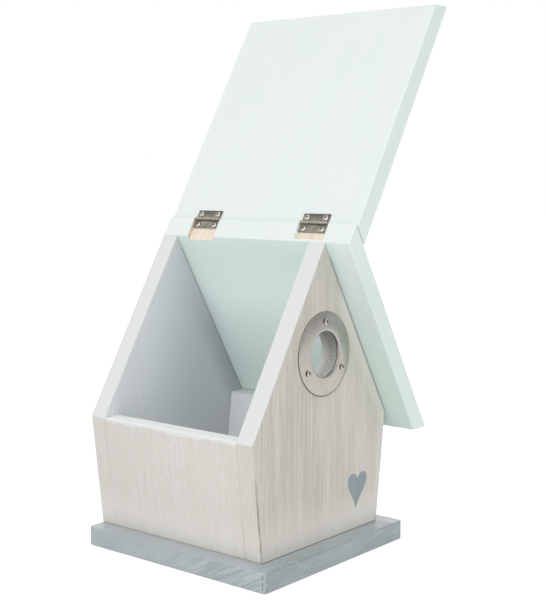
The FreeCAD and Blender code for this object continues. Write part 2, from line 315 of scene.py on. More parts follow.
def rays(wire):
    """1 for rays that see the ground directly or through glass, and 1 for rays that see it in a mirror."""
    outputs = wire.node("LightPath").socket.node.outputs
    camera_ray, mirror_ray, glass_ray = (Wire(outputs[f"Is {kind} Ray"])
                                         for kind in ("Camera", "Glossy", "Transmission"))
    return most(camera_ray, glass_ray), mirror_ray


world = bpy.data.worlds.new("sky")
bpy.context.scene.world = world
world.use_nodes = True
world.node_tree.nodes.clear()
sky = Wire(world.node_tree.nodes.new("ShaderNodeTexCoord").outputs["Generated"])
_, to_back, to_top = axes(sky)
soft_light = step(to_top, 0.0, 1.0, "LINEAR") * sky_top + step(to_back, 0.0, -1.0, "LINEAR") * sky_front
behind_camera = step(to_back, 0.1, -0.45) * step(to_top, 0.7, 0.35)
mirrored = 1 - behind_camera * (1 - room_level)
direct, mirror = rays(sky)
sky_strength = soft_light + direct * (1 - soft_light) + mirror * (mirrored - soft_light)
background = sky.node("Background", None, {"Color": (1, 1, 1, 1), "Strength": sky_strength})
sky.node("OutputWorld", None, {"Surface": background})
print("sky", sky_top, "from above and", sky_front, "from the front")

# %% Lamp
lamp_size, lamp_power = 1.6, 8.2
lamp_spot, lamp_aim = Vector((-1.42, -0.3, 0.75)), Vector((0, 0, 0.15))
light = bpy.data.lights.new("left", "AREA")
light.energy, light.size = lamp_power, lamp_size
lamp = bpy.data.objects.new("left", light)
lamp.location = lamp_spot
lamp.rotation_euler = (lamp_spot - lamp_aim).to_track_quat("Z", "Y").to_euler()
bpy.context.scene.collection.objects.link(lamp)
print("lamp", lamp_power, "W")

# %% Floor
floor_half, floor_drop = 6.0, 0.05 * MM
floor_glow, floor_grey = 0.74, 0.38
table_r, table_soft = 1.5, 0.06                 # the white ground ends here in mirrors
floor_mesh = bpy.data.meshes.new("floor")
floor_shape = bmesh.new()
bmesh.ops.create_grid(floor_shape, x_segments=1, y_segments=1, size=floor_half)
floor_shape.to_mesh(floor_mesh)
floor_shape.free()
floor = bpy.data.objects.new("floor", floor_mesh)
floor.location.z = base_low.z - floor_drop
bpy.context.scene.collection.objects.link(floor)
floor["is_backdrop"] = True

floor_finish, floor_place = new_finish("floor")
bounce = floor_place.node("BsdfDiffuse", None, {"Color": colour(242, 242, 242)})
shadowed = floor_place.node("BsdfDiffuse", None, {"Color": (floor_grey, floor_grey, floor_grey, 1)})
direct, mirror = rays(floor_place)
beyond = step(vector("LENGTH", floor_place), table_r - table_soft, table_r + table_soft) * mirror
glow = floor_place.node("Emission", None, {"Strength": floor_glow})
room = floor_place.node("Emission", None, {"Strength": room_level})
table = floor_place.node("AddShader", None, {0: glow, 1: shadowed})
shown = floor_place.node("MixShader", None, {0: beyond, 1: table, 2: room})
ground = floor_place.node("MixShader", None, {0: most(direct, mirror), 1: bounce, 2: shown})
floor_place.node("OutputMaterial", None, {"Surface": ground})
floor_mesh.materials.append(floor_finish)
bpy.context.scene.view_settings.view_transform = "Standard"
print("floor", 2 * floor_half, "m wide")

# %% [markdown]
# ## Limed walls
# The walls are softwood with an upright grain. Outside they are limed: a thin white wash that leaves the
# grain showing as grey and straw streaks. Inside, on the wall tops and on the gable edges they have plain
# white paint. Pictures of wood could be wrapped round each board, but noise stretched along the grain runs
# through solid wood, so faces and edges agree at every corner, and depth below a face tells limed from
# white.

# %% Where the walls are limed and where they are white
def skin(depth):
    """1 in the outermost millimetre of a board."""
    return step(depth, 1.0 * MM, 0.7 * MM)


def wall_places(place):
    """Depths below the walls' faces and ends, and masks of the faces."""
    at = SimpleNamespace()
    at.x, at.y, at.z = axes(place)
    at.side = foot_half + (at.z - base_top) * lean - abs(at.x)
    at.front, at.back = at.y - front_y, back_y - at.y
    at.gable = (ridge_z - at.z) * math.sin(slope) - abs(at.x) * math.cos(slope)
    at.ridge, at.eave, at.foot = ridge_z - at.z, eave_z - at.z, at.z - base_top
    at.on_side, at.on_front, on_back = (skin(depth) for depth in (at.side, at.front, at.back))
    at.on_back_wall = step(at.back, wall_t + 0.6 * MM, wall_t + 0.2 * MM)

    wobble = (noise(place, upright(6, 6), 1.0) - 0.5) * (0.3 * MM)
    smear = noise(place, upright(9, 3), 2.0) * (1.6 * MM)
    past_front, past_back = (step(depth, wall_t + 0.03 * MM, wall_t + 0.1 * MM)
                             for depth in (at.front, at.back))
    at_eave = step(at.eave, -0.3 * MM, -0.1 * MM) * past_front * past_back
    at.on_top = step(at.eave + wobble, 1.1 * MM, 0.6 * MM) * at_eave
    at.smeared = step(at.eave - smear, 2.4 * MM, 0.8 * MM) * at_eave * at.on_side * 0.75
    at.on_gable = step(at.gable + wobble, 0.9 * MM, 0.4 * MM)
    at.limed = most(at.on_side, at.on_front, on_back) * (1 - most(at.on_top, at.on_gable, at.smeared))
    return at


# %% [markdown]
# ### Grain and lime
# The grain shows as long streaks of several widths under the lime. A photograph of a board would repeat from
# wall to wall. Noises of three widths, stretched upright, make the streaks. Soft steps measured from the
# board's edges paint light into the lime at the foot, under the roof and along the front's right edge,
# against the house's own shade, and make the side walls darker towards their ends.

# %% Grain under the lime
straw = colour(174, 164, 148)


def limed_grain(place, at):
    """Colour and relief of the limed grain, which sways a little on the side walls."""
    across = at.x * (1 - at.on_side) + at.x.math("SIGN", at.x) * at.on_side
    sway = (noise(place, upright(28, 45), 2.0) - 0.5) * at.on_side * (4 * MM)
    fibre_place = place.node("CombineXYZ", None, {0: across + sway, 1: at.y + sway, 2: at.z})
    patches = noise(fibre_place, upright(9, 120), 2.0)
    streaks = noise(fibre_place, upright(1.4, 70), 3.0)
    fibres = noise(fibre_place, upright(0.6, 14), 2.0)
    tone = step(patches * 0.25 + streaks * 0.45 + fibres * 0.3, 0.2, 0.8)
    dark = blend(at.on_side, colour(190, 185, 175), colour(205, 201, 195))
    light = blend(at.on_side, colour(207, 204, 197), colour(212, 209, 204))
    lines = noise(fibre_place, upright(0.9, 40), 2.0, 0.58, 0.7) * patches
    wood = blend(lines * (0.42 + at.on_side * 0.15), blend(tone, dark, light), straw)
    return wood, streaks * 0.4 + fibres * 0.6


# %% Painted light on the lime
# lighter lime as painted light against the house's shade, and darker tones for the side walls' ends
painted_light_lime, painted_light_side_lime = colour(224, 221, 214), colour(236, 233, 226)
darker_side_back, darker_side_front = colour(194, 190, 184), colour(195, 190, 183)


def lime_with_painted_light(at, wood):
    """Painted light at the foot, under the roof and along the front's right edge; the sides darker towards
    their ends.
    """
    # painted light: lighter lime at the foot, under the roof and along the front's right edge
    foot = step(at.foot, 42 * MM, 4 * MM)
    foot_edge = step(at.foot, 9 * MM, 0.0)
    to_right = step(at.x, -30 * MM, 60 * MM)
    near_roof = step(at.gable, 18 * MM, 2 * MM) * step(at.ridge, 20 * MM, 50 * MM)
    near_side = step(at.side, 14 * MM, 1 * MM)
    right_rim = most(near_roof * 0.85, near_side * 0.65) * step(at.x, 0.0, 20 * MM)
    painted_light = most(foot * (0.65 + to_right * 0.3), foot_edge * 0.9, to_right * 0.3, right_rim)
    wood = blend(painted_light * at.on_front, wood, painted_light_lime)
    # the side walls darker towards the back and towards the front corner
    wood = blend(step(at.y, -20 * MM, 70 * MM) * at.on_side * 0.3, wood, darker_side_back)
    wood = blend(step(at.front, 32 * MM, 3 * MM) * at.on_side * 0.45, wood, darker_side_front)
    # painted light at the side walls' foot, against the base's shade
    return blend(step(at.foot, 34 * MM, 1 * MM) * at.on_side * 0.42, wood, painted_light_side_lime)


# %% [markdown]
# ### White paint
# Inside, the boards have white paint, brushed upright. One flat colour would do from afar. A fine upright
# noise gives the brush marks instead. The one paint has tones of painted light and shade: lighter inside
# than on the gable edges and tops, and greyer on the back wall, towards its right and beside the roof.

# %% White paint inside
# one white paint in tones of painted light and shade: lighter inside, darker on the gable edges and tops
gable_white, top_white = colour(212, 213, 213), colour(224, 226, 225)
painted_shade_white, painted_seam_shade = colour(195, 198, 201), colour(152, 165, 166)


def white_paint(place, at):
    """Colour and brush marks of the white paint, with painted light and shade: greyer on the back wall and
    beside the roof.
    """
    brush = noise(place, upright(1.0, 40), 3.0)
    white = blend(brush, colour(238, 241, 243), colour(244, 246, 247))
    # painted shade: the back wall's white is greyer than the rest of the inside
    shaded_back_white = blend(brush, colour(222, 226, 229), colour(230, 233, 235))
    # painted shade, greyer towards the back wall's right
    shaded_back_white = blend(step(at.x, -42 * MM, 26 * MM) * 0.75, shaded_back_white, painted_shade_white)
    # painted shade beside the roof, with a painted mint reflection in it
    near_roof = step(at.gable, 24 * MM, 1 * MM) * step(at.x, 0.0, 8 * MM)
    shaded_back_white = blend(near_roof * step(at.ridge, 25 * MM, 95 * MM) * 0.6, shaded_back_white, painted_seam_shade)
    white = blend(at.on_back_wall, white, shaded_back_white)
    # the gable edges' and tops' white is darker than inside, painted light and shade of one paint
    white = blend(most(at.on_gable, at.smeared), white, gable_white)
    return blend(at.on_top, white, top_white), brush


# %% [markdown]
# ### Entry hole
# Drilling tears the fibres, so the hole shows rough raw wood. Its faces could have a material of their own,
# but that would change the imported mesh. Distance from the hole's axis finds the bore as well. The bore
# has painted shade in its upper half and behind the plate and painted light at its inner end, and a thin
# painted shadow lies round the plate.

# %% Torn wood in the entry hole
shadow_shift = (0.8 * MM, 0, -0.5 * MM)          # the painted shadow round the plate lies low on the right
# painted light for the bore's inner end, and painted shade behind the plate
lit_inner_end, behind_plate_shade = colour(236, 237, 232), colour(66, 64, 60)


def entry_hole(place, at):
    """Mask, colour and torn fibres of the bore, with its painted light and shade, and the mask of the painted
    shadow round the plate.
    """
    flat = vector("MULTIPLY", vector("SUBTRACT", place, entry), (1, 0, 1))
    from_axis = vector("LENGTH", flat)
    from_shifted = vector("LENGTH", vector("SUBTRACT", flat, shadow_shift))
    # a painted shadow round the plate, shifted low and to the right
    shade_and_dirt = step(least(from_axis, from_shifted) - plate_r, 0.9 * MM, 0.1 * MM) * at.on_front
    in_wall = step(at.front, wall_t + 0.2 * MM, wall_t)
    in_bore = step(from_axis, bore_r + 0.3 * MM, bore_r + 0.1 * MM) * in_wall
    torn = noise(place, (1.1 * MM, 1.6 * MM, 1.1 * MM), 3.0)
    # painted shade: the bore darker in its upper half
    upper = step(at.z - entry.z, -bore_r, bore_r)
    dark = blend(upper, colour(164, 162, 155), colour(120, 119, 115))
    light = blend(upper, colour(204, 202, 195), colour(142, 141, 137))
    # painted light at the bore's inner end
    inner_end = step(at.front, wall_t * 0.4, wall_t) * (0.68 - upper * 0.5)
    bore = blend(inner_end, blend(torn, dark, light), lit_inner_end)
    # painted shade in the bore just behind the plate
    bore = blend(step(at.front, 1.5 * MM, 0.9 * MM) * 0.9, bore, behind_plate_shade)
    return in_bore, bore, torn, shade_and_dirt


# %% [markdown]
# ### Seams, and the layers together
# Where boards meet, a fine dark line shows. Real gaps could be modelled, but they would be finer than the
# picture can show, so the finish draws the lines, and noise breaks up those that come and go. The layers
# are then put together in the order in which they lie: lime or white paint, the bore, and dirt on top.

# %% Dark seams and corners
base_seam_dirt, arris_dirt = colour(112, 100, 88), colour(118, 104, 88)
joint_dirt, roof_seam_dirt = colour(134, 122, 106), colour(84, 88, 84)


def dark_seams(place, at, finish):
    """Dirt on the base, on the front corner, in the joint behind it and under the roof."""
    broken = noise(place, upright(3, 11), 2.0)
    seam = step(at.foot, 0.9 * MM, 0.3 * MM) * at.limed
    finish = blend(seam * (0.6 - at.on_side * 0.08), finish, base_seam_dirt)
    arris = skin(most(at.side, at.front)) * step(at.eave, 14 * MM, 34 * MM)
    finish = blend(arris * (broken * 0.3 + 0.4), finish, arris_dirt)
    joint = step(abs(at.front - wall_t), 0.5 * MM, 0.2 * MM) * at.on_side * step(at.eave, 50 * MM, 70 * MM)
    finish = blend(joint * broken * 0.8, finish, joint_dirt)
    under_roof = step(at.gable, 1.2 * MM, 0.5 * MM) * step(at.x, 4 * MM, 6 * MM)
    return blend(under_roof * (0.95 - at.on_back_wall * 0.35), finish, roof_seam_dirt)


# %% Limed wood
# painted shadow round the entry plate
plate_shadow = colour(92, 88, 78)


def limed_wood():
    material, place = new_finish("limed_wood")
    at = wall_places(place)
    wood, grain = limed_grain(place, at)
    white, brush = white_paint(place, at)
    in_bore, bore, torn, shade_and_dirt = entry_hole(place, at)
    finish = blend(at.limed, white, lime_with_painted_light(at, wood))
    finish = blend(in_bore, finish, bore)
    finish = blend(shade_and_dirt * 0.75, finish, plate_shadow)
    finish = dark_seams(place, at, finish)
    roughness = 0.5 + at.limed * 0.14 + torn * in_bore * 0.1
    height = grain * at.limed + brush * (1 - at.limed) * 0.06 + torn * in_bore * 0.4
    coat(place, Base_Color=finish, Roughness=roughness, Normal=relief(height, 0.06 * MM))
    return material


dress(limed_wood(), "front_wall", "back_wall", "left_wall", "right_wall")

# %% [markdown]
# ## Mint paint
# Both roof panels have a pale mint satin paint, bare only in the hinge recesses, which were cut after
# painting and show raw pine. The recesses could be separate pieces, but a box around each hinge picks
# them out of the panel without touching its mesh.

# %% Find the hinge recesses
roof_places = [from_pin @ corner for corner in corners("fixed_roof")]
ridge_plane = max(p.z for p in roof_places)          # the roof's ridge end, off the lid's underside
recess_lip = leaf_seat - 0.4 * MM                    # just under the face that the recess is cut into


def recess_floor(middle):
    """Lowest and highest corner of the bare floor under a hinge, measured from the pin."""
    level_places = [p for p in roof_places if abs(p.z + leaf_seat) < slack]
    return extent([p for p in level_places if abs(p.y - middle) < hinge_len])


recess_floors = {place: recess_floor(middle) for place, middle in hinge_middles.items()}
for place, (low, high) in recess_floors.items():
    print(place, "recess", round((high.y - low.y) / MM, 1), "mm long")


# %% Bare wood in the recesses
def along(place, direction):
    """How far a place lies from the hinge pin along a direction."""
    return vector("DOT_PRODUCT", vector("SUBTRACT", place, pin), direction)


def bare_recess(place):
    """1 in the recesses, and 1 on the front one's side walls, which kept some paint."""
    run, height, y = along(place, up_lid), along(place, off_lid), axes(place)[1]
    below_lip = step(height, recess_lip + slack, recess_lip)
    in_depth = below_lip * step(height, -leaf_seat - 2 * slack, -leaf_seat - slack)
    recesses, walls = [], None
    for name, (low, high) in recess_floors.items():
        half_len = (high.y - low.y) / 2
        across = abs(y - (low.y + high.y) / 2)
        recess = step(across, half_len + 2 * slack, half_len + slack) * step(run, low.x - slack, low.x)
        recesses.append(recess)
        if name == "front":
            walls = recess * step(across, half_len - 2 * slack, half_len - slack)
    return most(*recesses) * in_depth, walls * in_depth


# %% [markdown]
# ### Underside of the fixed panel
# The underside is painted too. Its colour carries painted light inside the house and greener painted shade
# under the overhang. Two materials would need a cut through the panel's mesh. A soft step hidden in the
# thickness of the front wall changes one tone into the other.

# %% Paint on the underside
def underside_light_and_shade(place, mottle):
    """Painted light on the underside inside the house, darker near the ridge and the back wall, and greener
    painted shade under the overhang.
    """
    _, y, z = axes(place)
    from_ridge, past_wall = ridge_z - z, front_y - y
    # painted light: inside the house the underside is much lighter than the same paint outside
    inner = blend(mottle, colour(238, 253, 248), colour(241, 255, 251))
    # darker near the ridge
    inner = blend(step(from_ridge, 50 * MM, 5 * MM), inner, colour(218, 234, 228))
    # painted shade near the back wall, half way down
    near_back = step(back_y - wall_t - y, 18 * MM, 0.0)
    half_way = step(from_ridge, 105 * MM, 60 * MM) * step(from_ridge, 25 * MM, 50 * MM)
    inner = blend(near_back * half_way * 0.25, inner, colour(196, 216, 216))
    # painted shade under the overhang: greener, lighter higher up and darkest by the front wall
    outer = blend(mottle, colour(208, 228, 221), colour(211, 231, 224))
    outer = blend(step(from_ridge, 88 * MM, 55 * MM), outer, colour(217, 231, 227))
    outer = blend(step(past_wall, 9 * MM, 0.0) * 0.5, outer, colour(200, 221, 214))
    return blend(step(past_wall, -0.7 * wall_t, -0.2 * wall_t), inner, outer)


# %% Mint paint
roof_front_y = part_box("roof_lid")[0].y
# a painted shade for the fixed panel's lower outer faces, and the paint left in the front recess
lower_mint_shade, recess_paint = colour(220, 234, 230), colour(240, 250, 248)


def mint_paint(name, tilt, fixed=False):
    """Paint on a panel whose slope leans by tilt from the upright; the fixed panel has bare recesses."""
    material, place = new_finish(name)
    board = place.node("Mapping", None, {"Vector": place, "Rotation": (0, tilt, 0)})
    brush = noise(board, upright(1.6, 70), 3.0)
    mottle = brush * 0.5 + noise(board, upright(38, 60), 2.0) * 0.5
    # one paint in two tones: paler on the lit faces, greener on the front ends and the fixed panel's outer
    # face, painted light and shade
    pale = blend(mottle, colour(218, 226, 224), colour(220, 227, 225))
    greener = blend(mottle, colour(223, 237, 233), colour(226, 239, 236))
    x, y, z = axes(place)
    on_front = step(y - roof_front_y, 1.0 * MM, 0.5 * MM)
    finish = blend(on_front, pale, greener)
    roughness = 0.42 + brush * 0.06
    if fixed:
        # painted shade: the greener tone darker lower down the fixed panel
        greener = blend(step(ridge_z - z, 0.0, 40 * MM), greener, lower_mint_shade)
        depth = x * math.cos(slope) + (z - ridge_z) * math.sin(slope)
        underside = step(depth, 0.9 * MM, 0.6 * MM) * (1 - on_front)
        ridge_end = step(along(place, off_lid), ridge_plane - 0.5 * MM, ridge_plane - 0.2 * MM)
        faces = blend(underside, greener, underside_light_and_shade(place, mottle))
        finish = blend(ridge_end * (1 - on_front), faces, finish)
        bare, walls = bare_recess(place)
        rings = noise(place, (30 * MM, 1.5 * MM, 30 * MM), 2.0)
        pine = blend(rings, colour(216, 202, 180), colour(231, 221, 205))
        finish = blend(bare, finish, blend(walls, pine, recess_paint))
        roughness = roughness + bare * 0.2
    coat(place, Base_Color=finish, Roughness=roughness, Normal=relief(brush, 0.02 * MM))
    return material


dress(mint_paint("mint_lid", -slope), "roof_lid")
dress(mint_paint("mint_roof", slope, fixed=True), "fixed_roof")

# %% [markdown]
# ## Grey-washed base
# The base board has a thin blue-grey wash over softwood whose grain runs from side to side, so its front
# edge shows long grain, and on its thirsty ends the wash stands in slanting strokes. The grain could be a
# wave; noise stretched along the board, bent by a slower noise, wanders more like wood. The wash is rubbed
# thin at the rounded corners.

# %% Washed grain
stroke_slant = 0.5                                  # rise of the brush strokes towards the front
scuff_grey = colour(194, 202, 204)


def washed_grain(place, on_end, pores):
    """Colour, grain and relief of the wash: over long grain, and on the ends in slanting strokes."""
    x, y, z = axes(place)
    sway = noise(place, (60 * MM, 22 * MM, 22 * MM), 2.0)
    bent = place.node("CombineXYZ", None, {0: x, 1: y + sway * (5 * MM), 2: z + sway * (6 * MM)})
    grain = noise(bent, (70 * MM, 2.4 * MM, 1.8 * MM), 4.0)
    fibres = noise(place, (20 * MM, 0.7 * MM, 0.7 * MM), 2.0)
    patches = noise(place, (40 * MM, 24 * MM, 24 * MM), 3.0)
    slanted = place.node("CombineXYZ", None, {0: x, 1: y, 2: z + y * stroke_slant})
    strokes = noise(slanted, (30 * MM, 26 * MM, 2.6 * MM), 4.0) - 0.5
    end_tone = (strokes * step(y, 30 * MM, -30 * MM) + 0.5) * 0.5 + pores * 0.25 + patches * 0.25
    long_tone = grain * 0.3 + patches * 0.4 + fibres * 0.3
    tone = step(long_tone * (1 - on_end) + end_tone * on_end, 0.15, 0.85)
    dark = blend(on_end, colour(146, 157, 160), colour(149, 159, 162))
    light = blend(on_end, colour(161, 171, 174), colour(173, 181, 183))
    scuffs = noise(bent, (14 * MM, 7 * MM, 2.5 * MM), 4.0, 0.58, 0.74)
    wash = blend(scuffs * (on_end * 0.15 + 0.2), blend(tone, dark, light), scuff_grey)
    return wash, grain, grain * 0.6 + fibres * 0.4


# %% [markdown]
# ### Pale and worn places
# The top has painted light beside the side walls, more on the right, and the wash is rubbed at the corners
# and dark in dots along the edges. This could be painted by hand on a picture of the board; masks measured
# from the edges stay right when the board's size changes.

# %% Painted light beside the walls
# painted light: lighter strips beside the walls, lighter on the right than on the left
left_strip, right_strip, wall_strip = colour(181, 186, 191), colour(198, 199, 202), colour(206, 210, 214)


def painted_light_beside_walls(place, wash):
    """Painted light on the board's top in the strips beside the side walls, more on the right."""
    x, y, z = axes(place)
    on_top = step(z, base_top - slack, base_top)
    past_front = step(y, front_y - 8 * MM, front_y + 6 * MM)
    on_right = step(x, 0.0, foot_half)
    from_wall = abs(x) - foot_half
    strip = on_top * step(from_wall, 0.0, 4 * MM) * most(past_front, on_right)
    # painted light in the strips beside the walls
    wash = blend(strip * 0.6, wash, blend(on_right, left_strip, right_strip))
    # painted light right against the walls, where their shade falls
    return blend(on_top * step(from_wall, 3 * MM, 0.0) * past_front * 0.4, wash, wall_strip)


# %% Grey wash
base_corner_r = base_high.x - max(c.x for c in corners("base_board") if c.y < base_low.y + hair)
rubbed_grey, edge_dark = colour(176, 185, 188), colour(92, 104, 108)


def grey_wash():
    material, place = new_finish("grey_wash")
    x, y, z = axes(place)
    side, end = base_high.x - abs(x), least(y - base_low.y, base_high.y - y)
    pores = noise(place, upright(0.9, 0.9), 3.0)
    wash, grain, height = washed_grain(place, step(side, 1.0 * MM, 0.5 * MM), pores)
    wash = painted_light_beside_walls(place, wash)
    past_corner = most(side, end)
    rubbed = step(past_corner, base_corner_r, base_corner_r - 0.8 * MM)
    wash = blend(rubbed * (0.15 + pores * 0.3), wash, rubbed_grey)
    edge_line = step(abs(past_corner - base_corner_r * 0.7), 0.45 * MM, 0.15 * MM)
    dots = noise(place, upright(1.1, 1.1), 2.0, 0.42, 0.56)
    on_face = step(least(side, end), 0.6 * MM, 0.3 * MM)
    wash = blend(edge_line * dots * on_face * 0.9, wash, edge_dark)
    arris = step(most(base_top - z, y - base_low.y), 0.7 * MM, 0.35 * MM)
    wash = blend(arris * (0.3 + pores * 0.3), wash, edge_dark)
    coat(place, Base_Color=wash, Roughness=0.17 + grain * 0.1, Normal=relief(height, 0.03 * MM))
    return material


dress(grey_wash(), "base_board")

# %% [markdown]
# ## Metals
# The entry plate is brushed stainless steel, the hinges are dull dark nickel, and the screws bright zinc.
# What makes metal is what it mirrors, so the colours are mostly plain and the roughness does the work; a
# painted highlight and painted shade are added on the hinges, the screws and the plate's hole.

# %% Where the screws are
hinge_screw_apart, plate_screw_apart = 9 * MM, 20 * MM


def screw_spots(node, apart):
    """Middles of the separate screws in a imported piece; a screw's corners lie within apart of its first."""
    groups = []
    for corner in corners(node):
        near = [group for group in groups if (group[0] - corner).length < apart]
        if near:
            near[0].append(corner)
        else:
            groups.append([corner])
    return [(low + high) / 2 for low, high in map(extent, groups)]


def from_screws(place, spots, axis):
    """Distance of a place from the nearest screw's axis."""
    offsets = [vector("SUBTRACT", place, spot) for spot in spots]
    return least(*(vector("LENGTH", vector("CROSS_PRODUCT", offset, axis)) for offset in offsets))


hinge_sides = [f"{place}_hinge_{side}" for place in hinge_middles for side in ("fixed", "lid")]
hinge_leaves = [f"{side}_leaf" for side in hinge_sides]
hinge_screws = [f"{side}_screws" for side in hinge_sides]
hinge_pins = [f"{place}_hinge_pin" for place in hinge_middles]
plate_screws = ["entry_plate_screws"]
hinge_spots = [spot for node in hinge_screws for spot in screw_spots(node, hinge_screw_apart)]
plate_spots = screw_spots("entry_plate_screws", plate_screw_apart)
head_low, head_high = hinge_box("back_hinge_lid_screws")
head_r = (head_high.x - head_low.x) / 2
hinge_head_tall = head_high.z + leaf_seat - leaf_t
plate_head_tall = plate_low.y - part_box("entry_plate_screws")[0].y
print(len(hinge_spots), "hinge screws with heads of", round(2 * head_r / MM, 2), "mm,",
      len(plate_spots), "plate screws")

# %% Brushed and plated metal
# a painted highlight for the knuckles, dirt and painted shade for the leaves, painted shade for the plate's
# hole
knuckle_highlight, leaf_shade_and_dirt, hole_rim_shade = colour(206, 202, 190), colour(70, 68, 62), colour(120, 116, 108)


def plated(name, dark, light, size, rough, rough_span, depth, screws=(), axis=None, hole_r=0.0):
    """Metal with scratches of a size along the three axes; on hinges a painted highlight on the knuckle, dirt
    and painted shade round the screws and darker towards the lid leaf's free edge, and painted shade on the
    upper rim of a hole.
    """
    material, place = new_finish(name)
    scratches = noise(place, size, 4.0)
    smudge = noise(place, upright(4, 4), 2.0)
    tint = blend(scratches * 0.5 + smudge * 0.5, dark, light)
    if screws:
        run = along(place, up_lid)
        # painted highlight along the knuckle's crest
        tint = blend(step(abs(run), 0.9 * MM, 0.4 * MM) * 0.4, tint, knuckle_highlight)
        # dirt and painted shade round the screw heads, and the lid leaf darker towards its free edge
        round_heads = step(from_screws(place, screws, axis), head_r + 0.7 * MM, head_r)
        shade_and_dirt = most(round_heads * 0.7, step(run, barrel_r, leaf_w, "LINEAR") * 0.75)
        tint = blend(shade_and_dirt, tint, leaf_shade_and_dirt)
    if hole_r:
        _, _, rise = axes(vector("SUBTRACT", place, entry))
        # painted shade on the upper rim of the plate's hole
        in_hole = step(from_screws(place, [entry], (0, 1, 0)), hole_r + 0.15 * MM, hole_r + 0.05 * MM)
        tint = blend(in_hole * step(rise, -hole_r * 0.4, hole_r * 0.3) * 0.5, tint, hole_rim_shade)
    roughness = rough + scratches * rough_span + smudge * (rough_span / 2)
    coat(place, Base_Color=tint, Metallic=1.0, Roughness=roughness, Normal=relief(scratches, depth))
    return material


stainless = plated("stainless", colour(176, 173, 166), colour(188, 185, 178),
                   (14 * MM, 3 * MM, 0.25 * MM), 0.17, 0.06, 0.001 * MM, hole_r=plate_hole_r)
dark_nickel = plated("dark_nickel", colour(124, 120, 108), colour(168, 163, 150),
                     (0.5 * MM, 9 * MM, 0.5 * MM), 0.26, 0.12, 0.006 * MM, hinge_spots, off_lid)
screw_steel = plated("screw_steel", colour(190, 187, 180), colour(214, 211, 204),
                     upright(0.6, 0.6), 0.2, 0.12, 0.003 * MM)
dress(stainless, "entry_plate")
dress(dark_nickel, *hinge_leaves, *hinge_pins)
dress(screw_steel, "front_wall_brads", "back_wall_brads", "roof_brads", "base_screws", "hanger_plate",
      "hanger_screws")

# %% [markdown]
# ### Screw heads
# The pan heads have a cross slot, already cut in the imported screws, and shade is painted into it and round
# the head's foot. The slot's faces could have a dark material; depth below the head's top and distance from
# the screw's axis find them without touching the mesh.

# %% Zinc with painted shade in the slots
out_of_front = Vector((0, -1, 0))
slot_r, slot_edge_r = 1.35 * MM, 1.5 * MM           # how far the cross slot reaches from the screw's axis
# painted shade for the cross slot and the head's foot
slot_shade = colour(84, 81, 74)


def screw_finish(name, screws, spots, axis, head_tall):
    """Bright zinc with painted shade in the cross slot and round the head's foot; the axis points out of the
    heads.
    """
    material, place = new_finish(name)
    blotch = noise(place, upright(0.6, 0.6), 3.0)
    tint = blend(blotch, colour(198, 195, 188), colour(220, 217, 210))
    top = max(corner.dot(axis) for node in screws for corner in corners(node))
    depth = top - vector("DOT_PRODUCT", place, axis)
    inner = step(from_screws(place, spots, axis), slot_edge_r, slot_r)
    # painted shade in the cross slot and round the head's foot
    in_slot = step(depth, 0.2 * MM, 0.32 * MM) * inner
    at_foot = step(depth, head_tall * 0.5, head_tall * 0.85) * (1 - inner)
    tint = blend(most(in_slot * 0.7, at_foot), tint, slot_shade)
    coat(place, Base_Color=tint, Metallic=1.0, Roughness=0.22 + blotch * 0.1 + in_slot * 0.4)
    return material


plate_zinc = screw_finish("plate_screw_steel", plate_screws, plate_spots, out_of_front, plate_head_tall)
hinge_zinc = screw_finish("hinge_screw_steel", hinge_screws, hinge_spots, off_lid, hinge_head_tall)
dress(plate_zinc, *plate_screws)
dress(hinge_zinc, *hinge_screws)

# %% [markdown]
# ## Entry plate
# A steel washer around the entry hole, pressed from sheet, with both rims rolled over so that no bird is
# hurt. It could be a cylinder with a hole cut out of it; a strip spun once round the hole's axis gives an
# even ring of faces, a slight dome that pressing leaves, and rims that catch the light as rolled sheet
# does.

# %% A helper that turns a bmesh into a piece
sharp_angle = math.radians(40)
merge_dist = 0.001 * MM


def make_piece(name, shape, material, body, slot, *stands_for):
    """A finished piece from a bmesh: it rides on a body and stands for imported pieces."""
    mesh = bpy.data.meshes.new(name)
    for face in shape.faces:
        face.smooth = True
    shape.to_mesh(mesh)
    shape.free()
    mesh.set_sharp_from_angle(angle=sharp_angle)
    mesh.materials.append(material)
    piece = bpy.data.objects.new(name, mesh)
    bpy.context.scene.collection.objects.link(piece)
    if stands_for:
        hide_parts(*stands_for)
    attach(piece, body)
    print(name, "has", len(mesh.polygons), "faces")


# %% Spin the entry ring
outer_round, inner_round, rim_steps, ring_steps = 0.5 * MM, 0.7 * MM, 6, 96
dome_drop, dome_steps = 0.45 * MM, 6                # the face falls back towards its outer rim

ring = bmesh.new()
shares = [i / dome_steps for i in range(dome_steps + 1)]
dome = [(plate_hole_r + s * (plate_r - plate_hole_r), plate_low.y + s * s * dome_drop) for s in shares]
strip = [(plate_hole_r, plate_high.y), *dome, (plate_r, plate_high.y)]
section = [ring.verts.new((entry.x + r, y, entry.z)) for r, y in strip]
for first, second in zip(section, section[1:] + section[:1]):
    ring.edges.new((first, second))
bmesh.ops.spin(ring, geom=ring.verts[:] + ring.edges[:], cent=entry, axis=(0, 1, 0), angle=2 * math.pi,
               steps=ring_steps, use_merge=True)
bmesh.ops.remove_doubles(ring, verts=ring.verts, dist=merge_dist)
bmesh.ops.recalc_face_normals(ring, faces=ring.faces)
rims = [e for e in ring.edges if sorted(f.normal.y < -0.5 for f in e.link_faces) == [False, True]]
middle_r = (plate_r + plate_hole_r) / 2
for is_outer, rim_round in ((True, outer_round), (False, inner_round)):
    edges = [e for e in rims if e.is_valid and ((e.verts[0].co - entry).xz.length > middle_r) == is_outer]
    bmesh.ops.bevel(ring, geom=edges, offset=rim_round, affect="EDGES", segments=rim_steps, profile=0.5,
                    material=-1)
